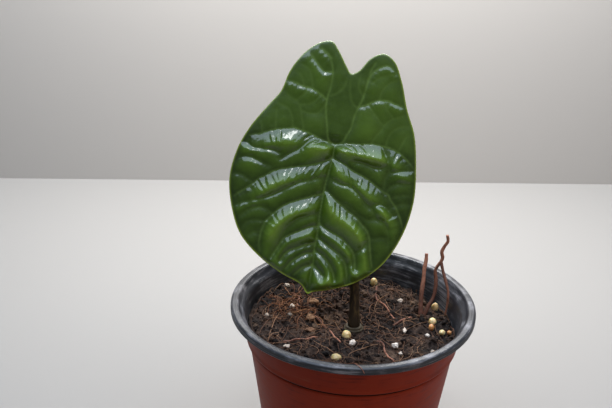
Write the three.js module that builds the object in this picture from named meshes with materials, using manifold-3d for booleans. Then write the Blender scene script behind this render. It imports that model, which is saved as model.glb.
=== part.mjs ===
// A young jewel alocasia in a thermoformed nursery pot: pot, potting mix, one quilted leaf on its
// petiole, the short stem it grows from, dried roots, fertiliser prills, perlite and bark.
// Millimetres, +Z up. The origin is the middle of the pot's flat base.
import * as THREE from "three";
import { ParametricGeometry } from "three/addons/geometries/ParametricGeometry.js";
import { mergeVertices } from "three/addons/utils/BufferGeometryUtils.js";
import Module from "manifold-3d";

// ---- driving dimensions ---------------------------------------------------------------------
const POT = {
  height: 95, // floor to the top of the rim
  rimRadius: 55, // outside of the rolled rim
  rimWidth: 3.75, // radial width of the rolled rim
  rimHeight: 3.6,
  overhang: 5.3, // how far the rim stands out over the wall just under it
  taper: 0.144, // millimetres the wall narrows for each millimetre down
  wall: 0.8,
  collarDepth: 17.8, // the stacking step, below the top of the rim
  stepIn: 0.7, // how far the wall steps in there
  flare: 1.6, // fillet between the wall and the underside of the rim
  baseRound: 1.5,
  floor: 1.2,
  segments: 56,
};
const DRAIN = { count: 6, radius: 4, ring: 22 };
const MIX = {
  placesRadius: 47.3, // the places of grains and roots are given for a mix of this radius
  depth: 11.5, // mean level below the top of the rim
  slope: 0.035, // the level falls this much for each millimetre towards +X
  rings: 9,
  sectors: 40,
};
const LEAF = {
  thickness: 0.8,
  attach: [-10.5, 15, 70], // petiole end of the blade, from the middle of the rim's top
  tilt: 25, // degrees the blade leans back from upright
  lean: 9, // degrees the tip points towards -X
  droop: 0.0016, // how fast the halves fall back from the midrib
  hang: 0.0009, // how fast the lobes and the tip fall back from the attachment
  keel: 2.2, // depth of the fold along the midrib
  puff: 1.7, // height of the blisters between the main veins
  sectors: 64,
  rings: 8,
};
const PETIOLE = { footRadius: 2.7, neckRadius: 1.9, sides: 10, steps: 22 };
const STEM = { at: [0.5, -4], radius: 4.6, height: 7, sunk: 4.4 };
const SEAT = 0.3; // clearance between pieces that rest on or in each other
const ROOT_SIDES = 6;

// ---- helpers --------------------------------------------------------------------------------
const wasm = await Module();
wasm.setup();

const group = new THREE.Group();
group.name = "potted_alocasia";

function add(name, geometry, colour, roughness, parent = group) {
  const material = new THREE.MeshStandardMaterial({ color: colour, roughness, metalness: 0 });
  const mesh = new THREE.Mesh(geometry, material);
  mesh.name = name;
  parent.add(mesh);
  return mesh;
}

// A closed mesh as a manifold-3d solid.
function solid(geometry) {
  const bare = new THREE.BufferGeometry().setIndex(geometry.index);
  bare.setAttribute("position", geometry.getAttribute("position"));
  const merged = mergeVertices(bare, 1e-3);
  return new wasm.Manifold(
    new wasm.Mesh({
      numProp: 3,
      vertProperties: merged.attributes.position.array,
      triVerts: new Uint32Array(merged.index.array),
    }),
  );
}

// A manifold-3d solid as a three.js geometry.
function geometryOf(body) {
  const mesh = body.getMesh();
  const geometry = new THREE.BufferGeometry();
  geometry.setAttribute("position", new THREE.BufferAttribute(mesh.vertProperties, 3));
  geometry.setIndex(new THREE.BufferAttribute(mesh.triVerts, 1));
  geometry.computeVertexNormals();
  return geometry;
}

// A smooth curve through points given from the middle of the rim's top.
const route = (points) =>
  new THREE.CatmullRomCurve3(
    points.map(([x, y, z]) => new THREE.Vector3(x, y, z + POT.height)),
    false,
    "centripetal",
  );

// A round shoot along a curve, closed by rounded ends; radiusAt(t) is its radius at 0 <= t <= 1.
function shoot(curve, radiusAt, sides, steps) {
  const { normals, binormals } = curve.computeFrenetFrames(steps, false);
  const surface = (u, v, target) => {
    const step = Math.round(v * (steps + 2)) - 1; // one extra ring closes each end
    const ring = THREE.MathUtils.clamp(step, 0, steps);
    const radius = step < 0 || step > steps ? 0 : radiusAt(ring / steps);
    const angle = 2 * Math.PI * u;
    target
      .copy(curve.getPointAt(ring / steps))
      .addScaledVector(normals[ring], radius * Math.cos(angle))
      .addScaledVector(binormals[ring], radius * Math.sin(angle));
  };
  return new ParametricGeometry(surface, sides, steps + 2);
}

// ---- pot ------------------------------------------------------------------------------------
const stepZ = POT.height - POT.collarDepth;
const underRim = POT.height - POT.rimHeight;
const baseRadius = POT.rimRadius - POT.overhang - POT.taper * underRim;
const innerRim = POT.rimRadius - POT.rimWidth;

// Outside radius of the wall at height z; below the collar it is stepped in.
function wallRadiusAt(z) {
  const cone = baseRadius + POT.taper * z;
  return z < stepZ ? cone - POT.stepIn : cone;
}

const insideRadiusAt = (z) => wallRadiusAt(z) - POT.wall;

function potProfile() {
  const foot = baseRadius - POT.stepIn;
  const rim = POT.rimRadius;
  const top = POT.height;
  const points = [
    [0, 0],
    [foot - POT.baseRound, 0],
    [foot - 0.3 * POT.baseRound, 0.3 * POT.baseRound],
    [wallRadiusAt(POT.baseRound), POT.baseRound],
    [wallRadiusAt(stepZ - POT.stepIn), stepZ - POT.stepIn],
    [wallRadiusAt(stepZ), stepZ],
    [wallRadiusAt(underRim - POT.flare), underRim - POT.flare],
    [wallRadiusAt(underRim) + 0.3 * POT.flare, underRim - 0.3 * POT.flare],
    [wallRadiusAt(underRim) + POT.flare, underRim],
    [rim - 0.25 * POT.rimHeight, underRim],
    [rim, underRim + 0.25 * POT.rimHeight],
    [rim, top - 0.4 * POT.rimHeight],
    [rim - 0.1 * POT.rimWidth, top - 0.12 * POT.rimHeight],
    [rim - 0.4 * POT.rimWidth, top],
    [innerRim + 0.2 * POT.rimWidth, top - 0.03 * POT.rimHeight],
    [innerRim, top - 0.25 * POT.rimHeight],
    [insideRadiusAt(underRim) + 0.6 * POT.flare, top - 0.7 * POT.rimHeight],
    [insideRadiusAt(underRim - POT.wall), underRim - POT.wall],
    [insideRadiusAt(stepZ + POT.wall), stepZ + POT.wall],
    [insideRadiusAt(stepZ - POT.stepIn), stepZ - POT.stepIn],
    [insideRadiusAt(POT.floor + POT.baseRound), POT.floor + POT.baseRound],
    [insideRadiusAt(POT.floor) - POT.baseRound, POT.floor],
    [0, POT.floor],
  ];
  return points.map(([r, z]) => new THREE.Vector2(r, z));
}

function potGeometry() {
  const shell = new THREE.LatheGeometry(potProfile(), POT.segments).rotateX(Math.PI / 2);
  let pot = solid(shell);
  for (let i = 0; i < DRAIN.count; i++) {
    const angle = (2 * Math.PI * i) / DRAIN.count;
    const drill = new THREE.CylinderGeometry(DRAIN.radius, DRAIN.radius, 6 * POT.floor, 20)
      .rotateX(Math.PI / 2)
      .translate(DRAIN.ring * Math.cos(angle), DRAIN.ring * Math.sin(angle), 0);
    pot = pot.subtract(solid(drill));
  }
  return geometryOf(pot);
}

add("nursery_pot", potGeometry(), 0x6e2a1c, 0.5);

// ---- potting mix ----------------------------------------------------------------------------
// Level of the mix at (x, y) from the top of the rim: a gentle slope, a hollow behind the stem, a
// mound of coir on the left, a dip at the back right and slow waves.
function mixLevel(x, y) {
  const bump = (cx, cy, spread, height) =>
    height * Math.exp(-((x - cx) ** 2 + (y - cy) ** 2) / (spread * spread));
  const waves = 0.45 * Math.sin(0.21 * x + 0.9) * Math.cos(0.17 * y - 0.4);
  const relief = bump(3, 7, 13, -1.8) + bump(-22, 12, 12, 1.3);
  return -MIX.depth - MIX.slope * x + waves + relief + bump(38, 22, 14, -1.2);
}

const mixTop = (x, y) => POT.height + mixLevel(x, y);

// Grains and roots keep their places when the pot grows or shrinks: they spread with the mix.
const mixRadius = insideRadiusAt(stepZ);
const spread = mixRadius / MIX.placesRadius;

function mixGeometry() {
  const floorZ = POT.floor + SEAT;
  const sideHeights = [stepZ + POT.wall, stepZ - POT.stepIn, floorZ + POT.baseRound];
  const rows = MIX.rings + sideHeights.length + 2;
  const surface = (u, v, target) => {
    const row = Math.round(v * rows);
    const angle = -2 * Math.PI * u;
    const [c, s] = [Math.cos(angle), Math.sin(angle)];
    const edgeZ = mixTop(mixRadius * c, mixRadius * s);
    const edge = insideRadiusAt(Math.min(edgeZ, underRim) - 1) - SEAT;
    const side = row - MIX.rings;
    if (side <= 0) {
      const r = (edge * row) / MIX.rings;
      target.set(r * c, r * s, mixTop(r * c, r * s));
    } else if (side <= sideHeights.length) {
      const z = Math.min(sideHeights[side - 1], edgeZ - 0.4 * side);
      const r = insideRadiusAt(z - POT.wall) - SEAT;
      target.set(r * c, r * s, z);
    } else {
      const r = row === rows ? 0 : insideRadiusAt(floorZ) - POT.baseRound - SEAT;
      target.set(r * c, r * s, floorZ);
    }
  };
  return new ParametricGeometry(surface, MIX.sectors, rows);
}

let mix = solid(mixGeometry());

// ---- loose grains, each seated in a socket of its own ------------------------------------------
// [x, y, width, depth, height, turn in degrees, colour]
const prills = [
  [12, 39, 3.4, 3.4, 4.6, 0, 0xd8c08a],
  [-3, -12, 4.1, 4.1, 4.2, 10, 0xd9c27e],
  [40.4, 18.8, 3.6, 3.4, 5, 20, 0xd6c79a],
  [37.5, 3.5, 3.6, 3.8, 3.8, 30, 0xdcc896],
  [36.5, -1.5, 2.8, 3.4, 3, 15, 0xb9793a],
  [41, -5.2, 2.9, 2.6, 2.6, 0, 0xe0cfa0],
  [44.4, -4.6, 2.2, 2.2, 2.2, 0, 0xa8693a],
  [-8, -31, 4.6, 3.8, 3.4, 12, 0xc79a55],
];
const perlite = [
  [-0.5, -17.6, 3, 2.8, 2.6, 0],
  [-28, 9.4, 2.3, 2.2, 2.1, 20],
  [-28.8, 2, 2.3, 2.2, 2, 50],
  [-31, 31, 2.7, 2.4, 2.3, 15],
  [-39.5, 2.4, 1.9, 1.9, 1.8, 0],
  [24, 22.5, 2.9, 2.6, 2.4, 35],
  [24, -4.4, 1.6, 3.6, 1.6, -8],
  [34, -8, 1.9, 1.8, 1.7, 0],
  [18.6, -19, 3.2, 2.9, 2.4, 25],
  [20.6, -24.6, 1.9, 1.8, 1.7, 0],
  [35, -21.2, 1.9, 1.8, 1.8, 40],
  [-29.5, -23.5, 3.4, 1.8, 1.5, -20],
];
const bark = [
  [-18, 14.5, 5.6, 4.8, 3.4, 20],
  [-19, 1, 4.8, 4, 3, 60],
  [-19.2, -9, 5.6, 3.6, 2.2, 10],
  [20, 33, 4.4, 3, 2.4, 35],
];

// An ellipsoid with w, d, h as its full sizes, turned about Z, its middle at height z.
function grainGeometry([x, y, w, d, h, turn], z, margin = 0) {
  return new THREE.SphereGeometry(0.5, 8, 6)
    .rotateX(Math.PI / 2)
    .scale(w + 2 * margin, d + 2 * margin, h + 2 * margin)
    .rotateZ(THREE.MathUtils.degToRad(turn))
    .translate(x, y, z);
}

// Each grain is sunk by a share of its height; the mix is cut back around it by the seat clearance.
function scatter(name, grains, sunk, colour, roughness) {
  grains.forEach(([x, y, w, d, h, turn, own], i) => {
    const grain = [spread * x, spread * y, w, d, h, turn];
    const z = mixTop(grain[0], grain[1]) + h * (0.5 - sunk);
    mix = mix.subtract(solid(grainGeometry(grain, z, SEAT)));
    add(`${name}_${i + 1}`, grainGeometry(grain, z), own ?? colour, roughness);
  });
}

scatter("fertiliser_prill", prills, 0.3, 0xd8c08a, 0.5);
scatter("perlite_grain", perlite, 0.35, 0xe6e0dc, 0.8);
scatter("bark_chip", bark, 0.4, 0x7d5d45, 0.9);

// ---- stem and petiole --------------------------------------------------------------------------
const [stemX, stemY] = STEM.at;
const stemTop = mixLevel(stemX, stemY) + STEM.height - STEM.sunk;

// The short rhizome, widest where it enters the mix; margin swells it for the socket in the mix.
function stemGeometry(margin = 0) {
  const profile = [
    [0, -STEM.height],
    [0.55, -0.8 * STEM.height],
    [1, -0.45 * STEM.height],
    [0.9, -0.15 * STEM.height],
    [0.66, 0],
    [0, 0],
  ].map(([share, z]) => {
    const r = share && share * STEM.radius + margin;
    return new THREE.Vector2(r, z < -0.4 * STEM.height ? z - margin : z + margin);
  });
  return new THREE.LatheGeometry(profile, 16)
    .rotateX(Math.PI / 2)
    .translate(stemX, stemY, stemTop + POT.height);
}

add("stem_base", stemGeometry(), 0x4a4028, 0.7);
mix = mix.subtract(solid(stemGeometry(SEAT)));

// The blade's own frame: X across, Y towards the rear lobes, Z out of the upper face.
const blade = new THREE.Group();
blade.position.set(LEAF.attach[0], LEAF.attach[1], LEAF.attach[2] + POT.height);
blade.rotation.set(
  THREE.MathUtils.degToRad(90 - LEAF.tilt),
  0,
  THREE.MathUtils.degToRad(-LEAF.lean),
  "XYZ",
);
group.add(blade);
blade.updateMatrixWorld(true);

// From the stem the petiole rises behind the blade and arches forward to meet its underside.
const bladeBack = (depth) => {
  const point = blade.localToWorld(new THREE.Vector3(0, 0, -depth));
  return [point.x, point.y, point.z - POT.height];
};
const petioleCurve = route([
  [stemX, stemY, stemTop + SEAT],
  [stemX, stemY, stemTop + PETIOLE.footRadius],
  [stemX - 0.4, stemY + 1.6, 8],
  [-2, 9, 32],
  [-6, 20, 53],
  bladeBack(7),
  bladeBack(LEAF.keel + 0.5 * LEAF.thickness + 2 * SEAT),
]);
const petioleRadius = (t) => THREE.MathUtils.lerp(PETIOLE.footRadius, PETIOLE.neckRadius, t);
add("petiole", shoot(petioleCurve, petioleRadius, PETIOLE.sides, PETIOLE.steps), 0x4d5a2a, 0.5);

// ---- leaf blade --------------------------------------------------------------------------------
// Margin of the blade, clockwise from the drip tip, seen from the upper face.
const margin = new THREE.CatmullRomCurve3(
  [
    [0, -67], [-3.6, -63.5], [-12.2, -60.5], [-23.2, -55.1], [-33.5, -46.9], [-39.3, -36.7],
    [-43.1, -23.1], [-42, -9.9], [-38, 1.2], [-31.5, 12.3], [-27.6, 18.7], [-25.3, 28.2],
    [-20.7, 36.6], [-14.7, 42.3], [-9.5, 43.8], [-5.8, 40.3], [-1.2, 34.1], [1.3, 31.4],
    [4.3, 33.1], [8.7, 39.7], [14, 42.6], [19.1, 40.1], [23.9, 31.9], [28.4, 20.5],
    [33.6, 10.1], [37, -4], [38.7, -19], [36.4, -34.5], [29.9, -48.8], [20, -58.3],
    [8.3, -63.8], [2.2, -65.8],
  ].map(([x, y]) => new THREE.Vector3(x, y, 0)),
  true,
  "centripetal",
);

// Main side veins, from the midrib to the margin: [start, bend, end].
const veins = [
  [[0, 0], [-17, 3.6], [-37, -3]],
  [[0, -7], [-21, -15], [-39, -30]],
  [[0, -22.5], [-19, -31.5], [-24.5, -52]],
  [[0, -37.5], [-12, -43], [-18, -54]],
  [[0, 0], [19, 2.2], [35, -3]],
  [[0, -7], [20, -14], [34, -28]],
  [[0, -22], [16, -31.5], [24.5, -44]],
  [[0, -37.5], [10, -42], [15, -50]],
  [[0, 0], [-6.6, 17], [-9, 38]],
  [[0, 0], [6, 13], [13, 38]],
];
const veinCurves = veins.map(
  (points) => new THREE.QuadraticBezierCurve(...points.map(([x, y]) => new THREE.Vector2(x, y))),
);
const veinSamples = veinCurves.flatMap((curve) => curve.getSpacedPoints(16));

// Height of the blade's middle surface: a gentle roll, a keel on the midrib and a blister between
// every two veins.
function bladeHeight(x, y) {
  const midrib = y < 0 ? Math.abs(x) : Math.hypot(x, y);
  const vein = Math.min(midrib, ...veinSamples.map((p) => Math.hypot(p.x - x, p.y - y)));
  const roll = -LEAF.droop * x * x - LEAF.hang * y * y;
  const fold = -LEAF.keel * Math.exp(-((midrib / 6) ** 2));
  return roll + fold + LEAF.puff * (1 - Math.exp(-((vein / 4) ** 2)));
}

function bladeGeometry() {
  const surface = (u, v, target) => {
    const upper = v < 0.5;
    const share = upper ? 2 * v : 2 - 2 * v;
    const edge = margin.getPointAt(u);
    const half = 0.5 * LEAF.thickness * Math.sqrt(1 - share ** 6);
    const [x, y] = [edge.x * share, edge.y * share];
    target.set(x, y, bladeHeight(x, y) + (upper ? half : -half));
  };
  return new ParametricGeometry(surface, LEAF.sectors, 2 * LEAF.rings);
}

add("leaf_blade", bladeGeometry(), 0x2f5a22, 0.3, blade);

// ---- roots ---------------------------------------------------------------------------------------
// Dried roots that stand out of the mix and lean towards the rim.
const shortRoot = [
  [32.5, 10.8, -12], [32.5, 13.4, -9.2], [32.9, 17.2, -4.1], [33.8, 21, 0.4], [34.2, 24, 4.1],
  [35.1, 27, 8.3], [35.2, 28.2, 10.8],
];
const tallRoot = [
  [34.3, 12.2, -12.3], [36.3, 14.6, -9.7], [38.1, 16.6, -7.5], [39.4, 19, -4], [39.7, 21.4, 0.4],
  [39.4, 23.2, 4.7], [40.7, 23.8, 7.2], [41.7, 24, 8.7], [42.4, 24.4, 10.7], [41.8, 24.6, 13.4],
  [43, 25, 16.5], [44.3, 25, 18.9], [43.8, 25, 22.1],
];
const tallRootBranch = [
  [41.7, 24, 8.7], [42.8, 20.5, 4.8], [43.9, 17, 1.5], [44.7, 14.6, -1.4], [44.9, 13.4, -4.6],
  [44.8, 13.2, -8], [44.2, 12.8, -12.4],
];
// Roots that lie on the mix: height is worked out from its level.
const lyingRoots = [
  [[-17, 3.8], [-12.5, -4], [-9, -12.5], [-5.8, -19.5]],
  [[9.6, -16], [13, -17.2], [13.6, -23.5], [17, -31.5]],
  [[13, 35], [12.4, 25], [16, 17.2], [20, 7]],
  [[-31, -19.5], [-24, -18], [-16, -15]],
  [[19, 1.6], [23.5, 4.6], [28, 8]],
  [[-28, 24], [-24.5, 19.5], [-25.5, 14], [-24, 8]],
];
const ROOT = { short: 1.1, tall: 0.95, branch: 0.8, lying: 0.6, seat: 0.55 };
const taperTo = (radius, end) => (t) => THREE.MathUtils.lerp(radius, radius * end, t);
const rootTube = (points, radius, end, steps) =>
  shoot(
    route(points.map(([x, y, z]) => [spread * x, spread * y, z])),
    taperTo(radius, end),
    ROOT_SIDES,
    steps,
  );

add("dry_root_short", rootTube(shortRoot, ROOT.short, 0.75, 14), 0x8a5a48, 0.8);
const fork = solid(rootTube(tallRoot, ROOT.tall, 0.8, 22)).add(
  solid(rootTube(tallRootBranch, ROOT.branch, 0.6, 12)),
);
add("dry_root_forked", geometryOf(fork), 0x8a5a48, 0.8);
lyingRoots.forEach((points, i) => {
  const level = (x, y) => mixLevel(spread * x, spread * y) + ROOT.lying + ROOT.seat;
  const path = points.map(([x, y]) => [x, y, level(x, y)]);
  add(`lying_root_${i + 1}`, rootTube(path, ROOT.lying, 0.7, 10), 0x7a4a36, 0.85);
});

add("potting_mix", geometryOf(mix), 0x2a1c16, 0.95);

export default group;
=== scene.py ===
# %% [markdown]
# # A young alocasia in its nursery pot
#
# This lesson builds the looks of a small potted plant around a finished CAD model. The CAD model
# says where each piece is and how big it is. Here each piece gets the surface that the real one has:
# a quilted, waxy leaf, a thin two-colour plastic pot, crumbly peat, beads of fertiliser and dry roots.
# Every surface is a function of two numbers worked out on a grid with numpy.

import bmesh
import bpy
import numpy as np
from mathutils import Matrix, Vector


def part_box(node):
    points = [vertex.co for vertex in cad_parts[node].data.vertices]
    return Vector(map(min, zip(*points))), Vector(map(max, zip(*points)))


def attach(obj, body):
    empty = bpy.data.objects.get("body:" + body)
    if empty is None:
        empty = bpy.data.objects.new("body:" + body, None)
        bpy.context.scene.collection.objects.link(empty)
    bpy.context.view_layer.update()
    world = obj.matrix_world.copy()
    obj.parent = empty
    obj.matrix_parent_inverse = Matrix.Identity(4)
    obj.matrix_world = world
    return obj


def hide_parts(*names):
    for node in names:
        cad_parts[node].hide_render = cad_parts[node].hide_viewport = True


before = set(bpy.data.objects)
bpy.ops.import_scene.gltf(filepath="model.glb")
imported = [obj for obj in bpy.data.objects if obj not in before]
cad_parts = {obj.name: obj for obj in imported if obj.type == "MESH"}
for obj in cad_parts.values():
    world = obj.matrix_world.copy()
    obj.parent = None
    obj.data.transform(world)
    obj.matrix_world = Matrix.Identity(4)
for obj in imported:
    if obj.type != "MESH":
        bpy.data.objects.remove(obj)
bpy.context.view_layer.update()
MM = 0.001
print("CAD nodes:", len(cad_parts))

# %% [markdown]
# ## Small tools
#
# Colours are written the way a paint chart or a picture editor gives them, as sRGB hex values, but
# light adds up linearly, so one function turns them to linear values. A second function adds a node
# to a material together with its settings and its links. The small ones after it each add the one
# kind of node they are named for, so that a material reads as a short recipe.

# %% Colour and node helpers
def linear(hex_colour):
    """sRGB hex to linear RGBA: ((c + 0.055) / 1.055) to the power 2.4, or c / 12.92 when dark."""
    value = hex_colour.lstrip("#")
    srgb = np.array([int(value[i : i + 2], 16) for i in (0, 2, 4)]) / 255
    rgb = np.where(srgb <= 0.04045, srgb / 12.92, ((srgb + 0.055) / 1.055) ** 2.4)
    return (*(float(c) for c in rgb), 1.0)


def add_node(tree, kind, inputs=None, stops=None, **settings):
    """Adds a node. inputs maps a socket's name or number to a value or to another node's output."""
    made = tree.nodes.new(kind)
    for name, value in settings.items():
        setattr(made, name, value)
    for name, value in (inputs or {}).items():
        if isinstance(value, bpy.types.NodeSocket):
            tree.links.new(value, made.inputs[name])
        else:
            made.inputs[name].default_value = value
    if stops:
        elements = made.color_ramp.elements
        while len(elements) < len(stops):
            elements.new(0.5)
        for element, (place, colour) in zip(elements, stops):
            element.position = place
            element.color = linear(colour)
    return made


def new_material(name, **sockets):
    """A Principled material. sockets are its uniform values, with spaces written as underscores."""
    material = bpy.data.materials.new(name)
    material.use_nodes = True
    shader = material.node_tree.nodes["Principled BSDF"]
    for socket, value in sockets.items():
        shader.inputs[socket.replace("_", " ")].default_value = value
    return material, material.node_tree, shader


def object_noise(tree, scale, detail, roughness=0.5, squeeze=(1.0, 1.0, 1.0)):
    """Fractal noise of about 1 / scale metres, in the piece's own coordinates times `squeeze`."""
    place = add_node(tree, "ShaderNodeTexCoord").outputs["Object"]
    place = add_node(tree, "ShaderNodeMapping", {"Vector": place, "Scale": squeeze}).outputs[0]
    inputs = {"Vector": place, "Scale": scale, "Detail": detail, "Roughness": roughness}
    return add_node(tree, "ShaderNodeTexNoise", inputs).outputs["Fac"]


def attribute(tree, name):
    """The number that a piece stores under a name at each of its points."""
    return add_node(tree, "ShaderNodeAttribute", attribute_name=name).outputs["Fac"]


def ramp(tree, value, *stops):
    """The colour at a value along stops of (place, colour)."""
    return add_node(tree, "ShaderNodeValToRGB", {"Fac": value}, stops=stops).outputs["Color"]


def remap(tree, value, low, high, new_low, new_high):
    """A straight line that takes low to new_low and high to new_high, held level beyond them."""
    inputs = {"Value": value, "From Min": low, "From Max": high, "To Min": new_low, "To Max": new_high}
    return add_node(tree, "ShaderNodeMapRange", inputs).outputs[0]


def laid_over(tree, under, share, hex_colour):
    """A plain colour over another one: (1 - share) * under + share * colour."""
    inputs = {"Factor": share, "A": under, "B": linear(hex_colour)}
    return add_node(tree, "ShaderNodeMix", inputs, data_type="RGBA").outputs["Result"]


def dress(tree, shader, colour, roughness=None, relief=None):
    """Links a colour, a roughness and a relief of (height, strength, depth in metres) to a shader."""
    tree.links.new(colour, shader.inputs["Base Color"])
    if roughness is not None:
        tree.links.new(roughness, shader.inputs["Roughness"])
    if relief is not None:
        bumped = add_node(tree, "ShaderNodeBump", dict(zip(("Height", "Strength", "Distance"), relief)))
        tree.links.new(bumped.outputs[0], shader.inputs["Normal"])


# %% [markdown]
# ## Noise without a texture
#
# Natural surfaces need irregular height. A lattice of random numbers, joined by a smooth curve, gives
# value noise: it is quick in numpy, and the same seed always gives the same ground.

# %% Value noise and a smooth curve through points
def value_noise(x, y, cell, seed):
    """Random lattice values every `cell`, blended with 3t^2 - 2t^3 in x and y. From -1 to 1."""
    lattice = np.random.default_rng(seed).uniform(-1, 1, (256, 256))
    u, v = np.asarray(x) / cell + 128.0, np.asarray(y) / cell + 128.0
    i, j = np.floor(u).astype(int), np.floor(v).astype(int)
    s, t = u - i, v - j
    s, t = s * s * (3 - 2 * s), t * t * (3 - 2 * t)
    a, b = lattice[i % 256, j % 256], lattice[(i + 1) % 256, j % 256]
    c, d = lattice[i % 256, (j + 1) % 256], lattice[(i + 1) % 256, (j + 1) % 256]
    return (a * (1 - s) + b * s) * (1 - t) + (c * (1 - s) + d * s) * t


def smooth_path(points, count, closed=False):
    """Centripetal Catmull-Rom: knots are as far apart as the square root of the distance between
    points, and each stretch blends its four nearest points in three rounds of straight mixing.
    Returns `count` points evenly spaced by length."""
    p = np.asarray(points, float)
    if closed:
        p = np.vstack([p[-1], p, p[:2]])
    else:
        p = np.vstack([2 * p[0] - p[1], p, 2 * p[-1] - p[-2]])
    knots = np.append(0, np.cumsum(np.sqrt(np.linalg.norm(np.diff(p, axis=0), axis=1))))
    k = [knots[i : len(knots) - 3 + i, None] for i in range(4)]
    share = np.linspace(0, 1, 24, endpoint=False)[:, None, None]
    at = k[1] + share * (k[2] - k[1])

    stage = [p[i : len(p) - 3 + i] for i in range(4)]
    one = [((k[i + 1] - at) * stage[i] + (at - k[i]) * stage[i + 1]) / (k[i + 1] - k[i]) for i in range(3)]
    two = [((k[i + 2] - at) * one[i] + (at - k[i]) * one[i + 1]) / (k[i + 2] - k[i]) for i in range(2)]
    curve = ((k[2] - at) * two[0] + (at - k[1]) * two[1]) / (k[2] - k[1])
    line = np.vstack([curve.transpose(1, 0, 2).reshape(-1, p.shape[1]), p[-2]])
    reach = np.append(0, np.cumsum(np.linalg.norm(np.diff(line, axis=0), axis=1)))
    where = np.linspace(0, reach[-1], count, endpoint=not closed)
    return np.stack([np.interp(where, reach, line[:, axis]) for axis in range(p.shape[1])], -1)


# %% [markdown]
# ## From grid to mesh
#
# A tube, a pot, a leaf and a heap of soil are all grids: rows of points, each row a closed ring. One
# function joins the rings with four-sided faces and closes each end with a fan. Another puts a mesh
# into the scene, makes it ride on the plant's one body and hides the CAD nodes it stands for.

# %% Mesh helpers
def ring_faces(rows, columns):
    """Faces of a grid of closed rings, with a fan at each end, for rows * columns points and two poles."""
    r, c = np.meshgrid(np.arange(rows - 1), np.arange(columns), indexing="ij")
    n = (c + 1) % columns
    quads = np.stack([r * columns + c, r * columns + n, (r + 1) * columns + n, (r + 1) * columns + c], -1)
    ring = np.arange(columns)
    after, first, last = (ring + 1) % columns, rows * columns, (rows - 1) * columns
    start = np.stack([np.full(columns, first), after, ring], -1)
    end = np.stack([np.full(columns, first + 1), last + ring, last + after], -1)
    return quads.reshape(-1, 4), np.vstack([start, end])


def new_piece(name, points_mm, faces, material, stands_for=(), slot=None, smooth=True):
    """Makes a mesh object from points in millimetres and faces, riding on the body `root`."""
    mesh = bpy.data.meshes.new(name)
    corners = [face for block in faces for face in block.tolist()]
    mesh.from_pydata((np.asarray(points_mm) * MM).tolist(), [], corners)
    mesh.polygons.foreach_set("use_smooth", np.full(len(mesh.polygons), smooth))
    piece = bpy.data.objects.new(name, mesh)
    bpy.context.scene.collection.objects.link(piece)
    for each in material if isinstance(material, list) else [material]:
        mesh.materials.append(each)
    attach(piece, "root")
    if stands_for:
        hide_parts(*stands_for)
    print(f"{name}: {len(mesh.polygons)} faces")
    return piece


def ring_piece(name, rings, poles, material, **kwargs):
    """A closed piece from an array of rings (rows, columns, 3) and its two pole points."""
    rows, columns, _ = rings.shape
    points = np.vstack([rings.reshape(-1, 3), poles])
    piece = new_piece(name, points, ring_faces(rows, columns), material, **kwargs)
    face_outward(piece)
    return piece


def face_outward(piece):
    """Turns the faces round if the volume, the sum of a.(b x c) / 6 over triangles, is negative."""
    mesh = piece.data
    mesh.calc_loop_triangles()
    corners = np.empty(len(mesh.loop_triangles) * 3, int)
    mesh.loop_triangles.foreach_get("vertices", corners)
    co = np.empty(len(mesh.vertices) * 3)
    mesh.vertices.foreach_get("co", co)
    a, b, c = np.moveaxis(co.reshape(-1, 3)[corners.reshape(-1, 3)], 1, 0)
    if np.einsum("ij,ij->", a, np.cross(b, c)) / 6 < 0:
        mesh.flip_normals()


def set_attribute(piece, name, values):
    """Stores one number for each point, which the piece's material can read."""
    layer = piece.data.attributes.new(name, "FLOAT", "POINT")
    layer.data.foreach_set("value", np.asarray(values, np.float32).ravel())


def box_mm(node):
    """The low and high corners of a CAD node's box, in millimetres."""
    return [np.array(corner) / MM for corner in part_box(node)]


def tube_rings(path, radii, sides, bumps=0.0, seed=0):
    """Rings around a path: centre + r (cos a * normal + sin a * binormal), the normal being the part of
    a fixed direction that is square to the path. bumps roughens the radius."""
    tangent = np.gradient(path, axis=-2)
    tangent /= np.linalg.norm(tangent, axis=-1, keepdims=True)
    fixed = np.array([0.31, 0.52, 0.79])
    normal = fixed - tangent * (tangent @ fixed)[..., None]
    normal /= np.linalg.norm(normal, axis=-1, keepdims=True)
    binormal = np.cross(tangent, normal)
    angle = np.linspace(0, 2 * np.pi, sides, endpoint=False)
    wave = np.random.default_rng(seed).uniform(-1, 1, (*path.shape[:-1], sides))
    r = np.asarray(radii)[..., None] * (1 + bumps * wave)
    across = normal[..., None, :] * np.cos(angle)[:, None] + binormal[..., None, :] * np.sin(angle)[:, None]
    return path[..., None, :] + r[..., None] * across


# %% [markdown]
# ## The camera
#
# The camera looks down at the rim of the pot from a little above the leaf, with a slightly long lens,
# so the pot shows as a shallow ellipse and the leaf fills the middle. Its frame cuts the pot off below
# the rim. The three axes of the camera are worked out from its pitch and its small roll.

# %% Camera
pot_low, pot_high = box_mm("nursery_pot")
RIM_Z = pot_high[2]
RIM_RADIUS = (pot_high[0] - pot_low[0]) / 2

PITCH, ROLL = np.radians(24.04), np.radians(1.55)
CAMERA_FROM_RIM = np.array([-22.6, -395.9, 223.9])
LENS_MM = 58.8

forward = np.array([0, np.cos(PITCH), -np.sin(PITCH)])
level_up = np.array([0, np.sin(PITCH), np.cos(PITCH)])
right = np.cos(ROLL) * np.array([1.0, 0, 0]) + np.sin(ROLL) * level_up
up = np.cross(right, forward)

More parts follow.
